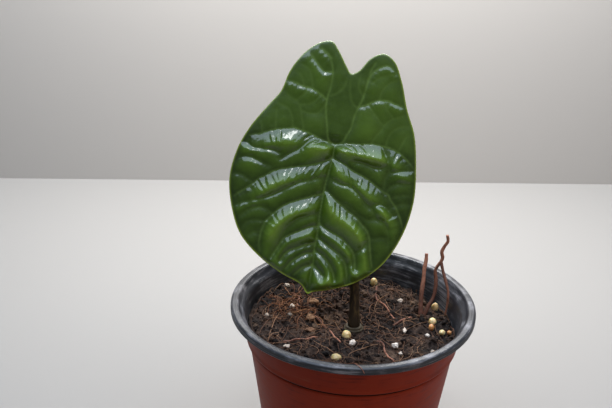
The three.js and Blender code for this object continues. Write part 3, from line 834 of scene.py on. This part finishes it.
# %% [markdown]
# ### Blisters
#
# Between its veins the blade is blown up like a quilt. That is what a skin does when it is stitched
# down along the veins and pressed from below, so the height h is worked out that way: on a raster,
# the curvature of h plus the pressure, less a stitching force K times h, is nought. K is large along
# the main veins and the margin, smaller along the branches and a little everywhere, so wide panels
# don't swell without end. Each pass of the loop moves every point towards the mean of its four
# neighbours; a chequerboard order and over-relaxation make it settle fast.
#
# A real panel isn't a round pillow: it rises steadily from the vein above it to a crest and falls
# slowly from there, so its upper slope mirrors one part of the sky as a band. Extra pressure along
# that crest line, 0.42 of the way from one side vein to the next, bends the skin there.

# %% Raster of the blade
STEP = 0.5  # millimetres between the raster's points
X_AXIS, Y_AXIS = np.arange(-46, 43, STEP), np.arange(-70, 48, STEP)
GX, GY = np.meshgrid(X_AXIS, Y_AXIS, indexing="ij")


def falloff(distance, width):
    """e to the minus (distance / width) squared."""
    return np.exp(-((distance / width) ** 2))


def smooth_step(value, width):
    """1 / (1 + e to the minus value / width)."""
    return 1 / (1 + np.exp(-value / width))


def near_curve(points):
    """Distance from every raster point to a curve, how far along the curve that is, and its own Y there."""
    line = smooth_path(points, 90)
    along = np.append(0, np.cumsum(np.linalg.norm(np.diff(line, axis=0), axis=1)))
    square = (GX[..., None] - line[:, 0]) ** 2 + (GY[..., None] - line[:, 1]) ** 2
    nearest = square.argmin(-1)
    distance = np.sqrt(np.take_along_axis(square, nearest[..., None], -1)[..., 0])
    return distance, along[nearest], line[nearest, 1]


def vein_set(curves):
    """Distances to several veins; how far along the nearest one is; and 1 below that vein, 0 above it."""
    found = [near_curve(points) for points in curves]
    gaps = np.array([vein[0] for vein in found])
    nearest = gaps.argmin(0)[None]
    along, own_y = (np.take_along_axis(np.array([v[item] for v in found]), nearest, 0)[0] for item in (1, 2))
    return gaps, along, smooth_step(own_y - GY, 0.4)


def inside_margin():
    """True inside the margin, by counting how often a line to the right crosses it."""
    x0, y0 = MARGIN[:, 0], MARGIN[:, 1]
    x1, y1 = np.roll(x0, -1), np.roll(y0, -1)
    crosses = np.zeros(GX.shape, int)
    for a, b, c, d in zip(x0, y0, x1, y1):
        if b != d:
            crosses += ((b > GY) != (d > GY)) & (GX < (c - a) * (GY - b) / (d - b) + a)
    return crosses % 2 == 1


inside_blade = inside_margin()
margin_gap = np.full(GX.shape, 99.0)
for part in np.array_split(MARGIN, 8):
    square = (GX[..., None] - part[:, 0]) ** 2 + (GY[..., None] - part[:, 1]) ** 2
    margin_gap = np.minimum(margin_gap, np.sqrt(square.min(-1)))

midrib_gap = near_curve(MIDRIB)[0]
basal_gap = vein_set(BASAL)[0].min(0)
side_gaps, seam_along, below = vein_set(LEFT + RIGHT)
lobe_gaps, lobe_along, below_lobe_vein = vein_set(LOBE_VEINS)
branch_gaps, branch_along, below_branch = vein_set(BRANCHES)
side_gap, lobe_gap, branch_gap = side_gaps.min(0), lobe_gaps.min(0), branch_gaps.min(0)
fine_gap = vein_set(FINE_VEINS)[0].min(0)
main_gap = np.minimum(np.minimum(midrib_gap, side_gap), basal_gap)
print("blade raster:", GX.shape)

# %% Stitch and inflate
LOBE_PRESSURE, BLADE_PRESSURE, CREST_LOAD = 0.065, 0.09, 0.95
CREST_PLACE, CREST_WIDTH, WIDEST_PANEL = 0.42, 0.09, 15.0


def inflated(pressure, stitch, passes=420, relax=1.88):
    """Solves laplacian(h) + pressure - stitch * h = 0 with h = 0 outside the blade."""
    h = np.zeros(GX.shape)
    chequer = (np.add.outer(np.arange(GX.shape[0]), np.arange(GX.shape[1])) % 2).astype(bool)
    weight = 4 + stitch * STEP**2
    for _ in range(passes):
        for colour in (chequer, ~chequer):
            around = np.roll(h, 1, 0) + np.roll(h, -1, 0) + np.roll(h, 1, 1) + np.roll(h, -1, 1)
            target = (around + pressure * STEP**2) / weight
            h = np.where(colour & inside_blade, h + relax * (target - h), h)
    return h


lower_half = smooth_step(1.5 - GY, 1.6)  # 1 below the attachment, 0 among the lobes
between_basal = falloff(np.clip(np.abs(GX - 0.05 * GY) - 3.5, 0, None), 2.0) * (GY > 0)
uneven = 1 + 0.3 * value_noise(GX, GY, 7.0, 41) + 0.25 * value_noise(GX, GY, 3.1, 42)
first_gap, second_gap = np.sort(side_gaps, axis=0)[:2]
spacing = np.minimum(first_gap + second_gap, WIDEST_PANEL)
above_gap = np.where(below > 0.5, first_gap, second_gap)  # distance to the side vein above
crest_width = CREST_WIDTH * spacing
crest = falloff(above_gap - CREST_PLACE * spacing, crest_width) / (crest_width * np.sqrt(np.pi))
crest_load = CREST_LOAD * crest * (1 + 0.4 * smooth_step(GX, 3))  # the right half is the fuller one
branch_swell, lobe_swell = 1 + 0.9 * value_noise(GX, GY, 3.7, 47), 1 + 0.7 * value_noise(GX, GY, 3.0, 48)
branch_crown = 0.22 * below_branch * falloff(branch_gap - 1.5, 1.1) * branch_swell
lobe_crown = 1 + 3.4 * below_lobe_vein * falloff(lobe_gap - 1.5, 1.2) * lobe_swell
pressure = LOBE_PRESSURE * lobe_crown * (1 - lower_half)
pressure = pressure + (BLADE_PRESSURE + crest_load + branch_crown) * lower_half
pressure = pressure * uneven * (1 - 0.8 * between_basal)
stitch = (
    0.03
    + 9.0 * falloff(main_gap, 0.45)
    + 4.0 * falloff(margin_gap, 0.9)
    + 5.0 * falloff(lobe_gap, 0.4)
    + 1.6 * falloff(fine_gap, 0.4)
    + 3.0 * falloff(branch_gap, 0.45) * np.clip(side_gap / 1.5, 0, 1)
)
quilt = inflated(pressure, stitch)
print("tallest blister:", round(float(quilt.max()), 2), "mm")

# %% [markdown]
# ### Cross ripples
#
# Just below each side vein the blade is gathered into small ripples that run away from the vein, 2 to
# 4 mm apart, like the puckers along a seam. They fade out towards the next vein. The phase is the
# distance along the nearest vein. Near the midrib they lean outwards along the vein, further out they
# stand square to it, and noise keeps them from being even. Smaller ones run below the branches and the
# lobes' veins. Finer noise stands for the leaf's cells. The whole blade bows a little and folds at its
# midrib.

# %% Ripples and the finished height field
PUCKER_HEIGHT = 0.18
lean = 2.2 * first_gap * np.exp(-seam_along / 12)
phase = seam_along - lean + 1.2 * value_noise(GX, GY, 4.5, 43)
puckers = np.sin(2 * np.pi * phase / 3.6) + 0.8 * np.sin(2 * np.pi * phase / 2.1 + 1.0)
uneven_pull = np.clip(0.75 + 0.8 * value_noise(GX, GY, 4.0, 44), 0.1, None)
gathered = below * falloff(np.clip(first_gap - 3.4, -3.4, None), 4.4) * np.clip(seam_along / 3, 0, 1)
gathered = gathered * np.clip((second_gap - first_gap) / 2.5, 0, 1) * np.clip(midrib_gap / 2, 0, 1)
drift = 1.2 * value_noise(GX, GY, 3.5, 49)
lobe_wave = np.sin(2 * np.pi * (lobe_along + drift) / 2.4)
branch_wave = np.sin(2 * np.pi * (branch_along + drift) / 2.0)
lobe_puckers = lobe_wave * below_lobe_vein * falloff(lobe_gap - 1.7, 1.6)
branch_puckers = branch_wave * below_branch * falloff(branch_gap - 1.4, 1.3)
small_puckers = 0.07 * lobe_puckers * (1 - lower_half) + 0.06 * branch_puckers * lower_half
cells = 0.055 * value_noise(GX, GY, 1.7, 45) + 0.035 * value_noise(GX, GY, 1.0, 46)
cells = cells * (0.5 + 0.5 * lower_half)
bow = -0.0016 * GX**2 - 0.0003 * np.minimum(GY, 0) ** 2 + 0.0003 * np.maximum(GY, 0) ** 2
fold = -1.6 * falloff(midrib_gap, 3.2) * (GY < 4)
ripples = PUCKER_HEIGHT * puckers * gathered * uneven_pull + small_puckers + cells
height_field = quilt + ripples * np.clip(margin_gap - 0.5, 0, 1) * inside_blade + fold + bow


def sample(field, x, y):
    """Cubic B-spline over the raster: the 16 points around (x, y) weighted by
    (1-t)^3/6, (3t^3-6t^2+4)/6, (-3t^3+3t^2+3t+1)/6 and t^3/6 in each direction."""
    u, v = (x - X_AXIS[0]) / STEP, (y - Y_AXIS[0]) / STEP
    i, j = np.floor(u).astype(int), np.floor(v).astype(int)

    def weights(t):
        near = [(3 * t**3 - 6 * t**2 + 4) / 6, (-3 * t**3 + 3 * t**2 + 3 * t + 1) / 6]
        return [(1 - t) ** 3 / 6, *near, t**3 / 6]

    wx, wy = weights(u - i), weights(v - j)
    total = np.zeros(np.shape(x))
    for a in range(4):
        for b in range(4):
            row = np.clip(i + a - 1, 0, field.shape[0] - 1)
            column = np.clip(j + b - 1, 0, field.shape[1] - 1)
            total += wx[a] * wy[b] * field[row, column]
    return total


# %% [markdown]
# ### The leaf's skin
#
# The upper face is waxy: a glossy cuticle over a dark green blade, paler along the veins. Its green is
# painted darker in the grooves and lighter on the blister tops and among the lobes, as painted shade and
# painted light, and its thin margin is painted yellow-green, as light shining through the edge. Cuticle
# wax has an IOR near 1.45, and it is the coat that makes the sheen. The underside is duller and greyer
# green, and its veins stand out.

# %% Leaf materials
leaf_top, tree, shader = new_material(
    "waxy_leaf_cuticle", IOR=1.45, Coat_Weight=1.0, Coat_Roughness=0.13, Specular_IOR_Level=0.25
)
# The attribute read here is painted light and shade: darker green in the grooves, lighter on blister tops and
# among the lobes.
mottle, painted_blister_light = object_noise(tree, 160.0, 5.0, 0.6), attribute(tree, "blister_light_and_shade")
tinted = add_node(tree, "ShaderNodeMath", {0: mottle, 1: 0.35, 2: painted_blister_light}, operation="MULTIPLY_ADD").outputs[0]
green = ramp(tree, tinted, (0.14, "#1b2a07"), (0.38, "#34490f"), (0.7, "#486217"), (1.0, "#5c7622"))
green = laid_over(tree, green, attribute(tree, "vein"), "#789545")
# Painted light: the yellow-green margin stands for light shining through the thin edge.
green = laid_over(tree, green, attribute(tree, "edge"), "#9db23c")
satin = remap(tree, mottle, 0.3, 0.7, 0.32, 0.46)
dress(tree, shader, green, satin, (object_noise(tree, 1500.0, 2.0), 0.1, 0.0002))

leaf_under, tree, shader = new_material("matt_leaf_underside", Roughness=0.5, IOR=1.4)
dull = ramp(tree, object_noise(tree, 220.0, 6.0), (0.3, "#425c35"), (0.7, "#587849"))
dress(tree, shader, laid_over(tree, dull, attribute(tree, "vein"), "#86a070"))

# %% Leaf mesh
TILT, LEAN = np.radians(65), np.radians(-9)
UPPER_RINGS, UNDER_RINGS = 104, 44
tilt_turn = np.array([[1, 0, 0], [0, np.cos(TILT), -np.sin(TILT)], [0, np.sin(TILT), np.cos(TILT)]])
lean_turn = np.array([[np.cos(LEAN), -np.sin(LEAN), 0], [np.sin(LEAN), np.cos(LEAN), 0], [0, 0, 1]])
leaf_turn = tilt_turn @ lean_turn
LEAF_ATTACH = np.array([-10.5, 15, RIM_Z + 70])


def blade_rings(shares, upper):
    """Rings at a share of the way from the attachment to the margin, on the upper or the under face."""
    x, y = shares[:, None] * MARGIN[:, 0], shares[:, None] * MARGIN[:, 1]
    z = sample(height_field, x, y)
    gap = sample(main_gap, x, y)
    rounding = np.sqrt(np.clip(1 - shares**14, 0, 1))[:, None]
    if upper:
        return np.stack([x, y, z + 0.3 * rounding], -1)
    rib = 1.1 * falloff(gap, 0.9) + 1.2 * falloff(sample(midrib_gap, x, y), 1.6)
    return np.stack([x, y, z - (0.3 + rib * (1 - shares[:, None] ** 3)) * rounding], -1)


upper_shares = np.append(np.linspace(0.01, 0.985, UPPER_RINGS - 3), [0.992, 0.997, 1.0])
under_shares = np.linspace(0.985, 0.02, UNDER_RINGS)
blade_points = np.vstack([blade_rings(upper_shares, True), blade_rings(under_shares, False)])
middle = float(sample(height_field, np.array([0.0]), np.array([0.0]))[0])
poles = np.array([[0, 0, middle + 0.3], [0, 0, middle - 2.0]])
flat = np.vstack([blade_points.reshape(-1, 3), poles])
leaf = ring_piece(
    "alocasia_leaf",
    *(points @ leaf_turn.T + LEAF_ATTACH for points in (blade_points, poles)),
    [leaf_top, leaf_under],
    stands_for=["leaf_blade"],
    slot="leaf",
)
quad_rows = np.repeat(np.arange(len(blade_points) - 1), len(MARGIN))
under = np.concatenate([quad_rows >= UPPER_RINGS, np.repeat([False, True], len(MARGIN))])
leaf.data.polygons.foreach_set("material_index", under.astype(np.int32))
flat_x, flat_y = flat[:, 0], flat[:, 1]
# Painted light and shade: blister height, plus extra among the lobes, lightens the leaf's green.
set_attribute(leaf, "blister_light_and_shade", np.clip(sample(quilt / 3.0 + 0.2 * (1 - lower_half), flat_x, flat_y), 0, 1))
thin_lines = 0.4 * falloff(lobe_gap, 0.4) + 0.15 * falloff(fine_gap, 0.38) + 0.12 * falloff(branch_gap, 0.4)
lines = np.maximum(0.45 * falloff(main_gap, 0.32), thin_lines) * np.clip(margin_gap / 4, 0, 1)
set_attribute(leaf, "vein", sample(lines, flat_x, flat_y))
# Painted light through the thin margin, strongest towards the tip.
painted_margin_glow = falloff(sample(margin_gap * inside_blade, flat_x, flat_y), 0.48)
set_attribute(leaf, "edge", painted_margin_glow * (0.6 + 0.4 * smooth_step(-flat_y - 35, 6)))

# %% [markdown]
# ## Petiole and stem
#
# The petiole is a fleshy stalk that rises behind the blade and arches over to meet its underside. It
# is olive and browner at the foot, and painted darker there as shade under the leaf. Its foot stands on
# a short rhizome in the mix.

# %% Petiole and stem materials
def stalk_material(name, low_colour, high_colour, fleck, roughness):
    """Fleshy skin: colour changes up the stalk with the attribute `up`, under fine lengthwise flecks."""
    material, tree, shader = new_material(name, Roughness=roughness, IOR=1.42)
    flecks = object_noise(tree, 900.0, 5.0, squeeze=(1.0, 1.0, 0.25))
    skin = ramp(tree, attribute(tree, "up"), (0.0, low_colour), (0.3, low_colour), (0.75, high_colour))
    marked = laid_over(tree, skin, remap(tree, flecks, 0.5, 0.68, 0.0, 0.7), fleck)
    dress(tree, shader, marked, relief=(flecks, 0.25, 0.0004))
    return material


# The petiole's dark foot colour is its own browner tone plus painted shade under the leaf.
petiole_skin_and_shade = stalk_material("fleshy_petiole_with_shade", "#292013", "#46582b", "#5b4a2c", 0.6)
stem_skin = stalk_material("rhizome_bark", "#2b1f14", "#3d3320", "#17100a", 0.7)


def stalk(name, path, radii, sides, material, bumps=0.02, seed=0, **kwargs):
    """A tube along a path, with its height stored from 0 at the foot to 1 at the top."""
    rings = tube_rings(path, radii, sides, bumps, seed)
    piece = ring_piece(name, rings, [path[0], path[-1]], material, **kwargs)
    set_attribute(piece, "up", np.append(np.repeat(np.linspace(0, 1, len(path)), sides), [0, 1]))


# %% Petiole and stem meshes
stem_low, stem_high = box_mm("stem_base")
STEM_X, STEM_Y, _ = (stem_low + stem_high) / 2
STEM_TOP = stem_high[2]
blade_back = leaf_turn[:, 2]
petiole_path = smooth_path(
    [
        (STEM_X, STEM_Y, STEM_TOP - 0.5), (STEM_X, STEM_Y, STEM_TOP + 2.7),
        (STEM_X - 0.4, STEM_Y + 1.6, RIM_Z + 8), (-2, 9, RIM_Z + 32), (-6, 20, RIM_Z + 53),
        LEAF_ATTACH - 7 * blade_back, LEAF_ATTACH - 2.4 * blade_back,
    ],
    110,
)
reach = np.linspace(0, 1, 110)
flares = 0.7 * np.exp(-((1 - reach) / 0.03) ** 2) + 0.5 * np.exp(-((reach / 0.06) ** 2))  # top and foot
stalk(
    "leaf_petiole", petiole_path, 2.3 - 0.5 * reach + flares, 28, petiole_skin_and_shade, 0.012, 51,
    stands_for=["petiole"], slot="petiole",
)

climb = np.linspace(0, 1, 40)
stem_z = np.linspace(stem_low[2], STEM_TOP, 40)
stem_path = np.stack([np.full(40, STEM_X), np.full(40, STEM_Y), stem_z], -1)
scars = 1 + 0.05 * np.sin(2 * np.pi * 6 * climb)
barrel = np.sqrt(np.clip(1 - (2 * climb**0.8 - 1) ** 4, 0.05, 1))  # full in the middle, drawn in at the ends
stem_radii = (stem_high[0] - stem_low[0]) / 2 * barrel * scars * 0.96
stalk("rhizome", stem_path, stem_radii, 36, stem_skin, 0.04, 52, stands_for=["stem_base"], slot="stem")

# %% [markdown]
# ## Dried roots
#
# Two dried roots stand out of the mix at the back right and lean on the rim; the taller one forks.
# Others lie on the mix. They are pinkish brown, wrinkled and about 1 to 2 mm thick.

# %% Roots
root_skin = stalk_material("dried_root", "#5c3626", "#93614b", "#3f261b", 0.75)
FORK = (41.7, 24, 8.7)
STANDING = {
    "standing_root_short": (
        [(32.4, 10, -14), (32.5, 13.4, -9.2), (32.9, 17.2, -4.1), (33.8, 21, 0.4), (34.2, 24, 4.1),
         (35.1, 27, 8.3), (35.2, 28.2, 10.8)],
        1.1, 0.75, "dry_root_short",
    ),
    "standing_root_tall": (
        [(33.9, 11.6, -14), (36.3, 14.6, -9.7), (38.1, 16.6, -7.5), (39.4, 19, -4), (39.7, 21.4, 0.4),
         (39.4, 23.2, 4.7), (40.7, 23.8, 7.2), FORK, (42.4, 24.4, 10.7), (41.8, 24.6, 13.4),
         (43, 25, 16.5), (44.3, 25, 18.9), (43.8, 25, 22.1)],
        0.9, 0.85, "dry_root_forked",
    ),
    "standing_root_fork": (
        [FORK, (42.8, 20.5, 4.8), (43.9, 17, 1.5), (44.7, 14.6, -1.4), (44.9, 13.4, -4.6),
         (44.8, 13.2, -8), (44.2, 12.8, -13.5)],
        0.8, 0.6, None,
    ),
}
for number, (name, (points, radius, end, node)) in enumerate(STANDING.items()):
    path = smooth_path(np.array(points) + [0, 0, RIM_Z], 60)
    radii = radius * np.linspace(1, end, 60) * (1 + 0.08 * np.sin(np.linspace(0, 17, 60) + number))
    nodes = [node] if node else ()
    stalk(name, path, radii, 14, root_skin, 0.07, 60 + number, stands_for=nodes, slot="dry_root")

LYING = [
    [(-17, 3.8), (-12.5, -4), (-9, -12.5), (-5.8, -19.5)],
    [(9.6, -16), (13, -17.2), (13.6, -23.5), (17, -31.5)],
    [(13, 35), (12.4, 25), (16, 17.2), (20, 7)],
    [(-31, -19.5), (-24, -18), (-16, -15)],
    [(19, 1.6), (23.5, 4.6), (28, 8)],
    [(-28, 24), (-24.5, 19.5), (-25.5, 14), (-24, 8)],
]
for number, points in enumerate(LYING, 1):
    flat_path = smooth_path(points, 48)
    ground = mix_height(flat_path[:, 0], flat_path[:, 1])
    ground = np.convolve(np.pad(ground, 3, "edge"), np.ones(7) / 7, "valid")
    path = np.column_stack([flat_path, ground + 0.35])
    stalk(
        f"surface_root_{number}", path, 0.55 * np.linspace(1, 0.6, 48), 10, root_skin, 0.08, 70 + number,
        stands_for=[f"lying_root_{number}"], slot="dry_root",
    )

# One hair root has grown over the front of the rim and dried there.
hair_path = smooth_path(
    [(-6.9, -29, -12), (-5.4, -38, -9.5), (-4, -46, -4), (-2.6, -50.2, -0.8), (-1.2, -52, 0.4),
     (0.6, -53.9, 0.3), (2, -55.2, -0.6), (2.8, -55.7, -2)],
    60,
)
stalk("hair_root", hair_path + [0, 0, RIM_Z], np.full(60, 0.15), 8, root_skin, 0.06, 90, slot="dry_root")

# %% [markdown]
# ## Fertiliser, perlite and bark
#
# Slow-release fertiliser comes as resin-coated prills: smooth, slightly squashed beads, cream to
# orange. Perlite is popped volcanic glass: white, angular, full of pits. Bark chips are flat and
# rough. Each grain takes its place and its size from its CAD node.

# %% Grain materials
def bead_material(name, dark, light):
    """Resin-coated bead: waxy, slightly see-through, mottled at 1 mm."""
    material, tree, shader = new_material(
        name, Roughness=0.38, IOR=1.5, Subsurface_Weight=0.25, Subsurface_Scale=0.001
    )
    dress(tree, shader, ramp(tree, object_noise(tree, 750.0, 5.0), (0.35, dark), (0.62, light)))
    return material


cream_bead = bead_material("cream_resin_coat", "#b08c50", "#e0cc98")
amber_bead = bead_material("amber_resin_coat", "#8a4e22", "#c08a52")
perlite = crumbly("expanded_perlite", 0.85, 900.0, (0.2, "#857466"), (0.5, "#c4b6a8"), (0.8, "#e6ddd2"))
bark = crumbly("bark_chip", 0.9, 450.0, (0.2, "#3a281e"), (0.5, "#6e513d"), (0.8, "#96765a"))


# %% Grain meshes
def grain(name, node, material, dent, level, seed, slot):
    """A ball stretched to the CAD node's box and dented by smooth noise of its own direction."""
    low, high = box_mm(node)
    ball, faces = icosphere(level)
    shape = 1 + dent * (
        value_noise(1.9 * ball[:, 0] + seed, 1.9 * ball[:, 1] + 1.7 * ball[:, 2], 1.0, seed)
        + 0.5 * value_noise(4.1 * ball[:, 1] - seed, 4.1 * ball[:, 2] + 3.3 * ball[:, 0], 1.0, seed + 1)
    )
    points = (low + high) / 2 + ball * shape[:, None] * (high - low) / 2
    piece = new_piece(name, points, [faces], material, stands_for=[node], slot=slot, smooth=dent < 0.2)
    set_attribute(piece, "tone", np.full(len(ball), 0.5 + 0.3 * np.sin(seed)))


AMBER = (5, 7)
for k in range(1, 9):
    bead = amber_bead if k in AMBER else cream_bead
    grain(f"prill_{k}", f"fertiliser_prill_{k}", bead, 0.05, 4, 80 + k, "prill")
for k in range(1, 13):
    grain(f"perlite_{k}", f"perlite_grain_{k}", perlite, 0.25, 3, 100 + k, "perlite")
for k in range(1, 5):
    grain(f"bark_{k}", f"bark_chip_{k}", bark, 0.3, 3, 120 + k, "bark")
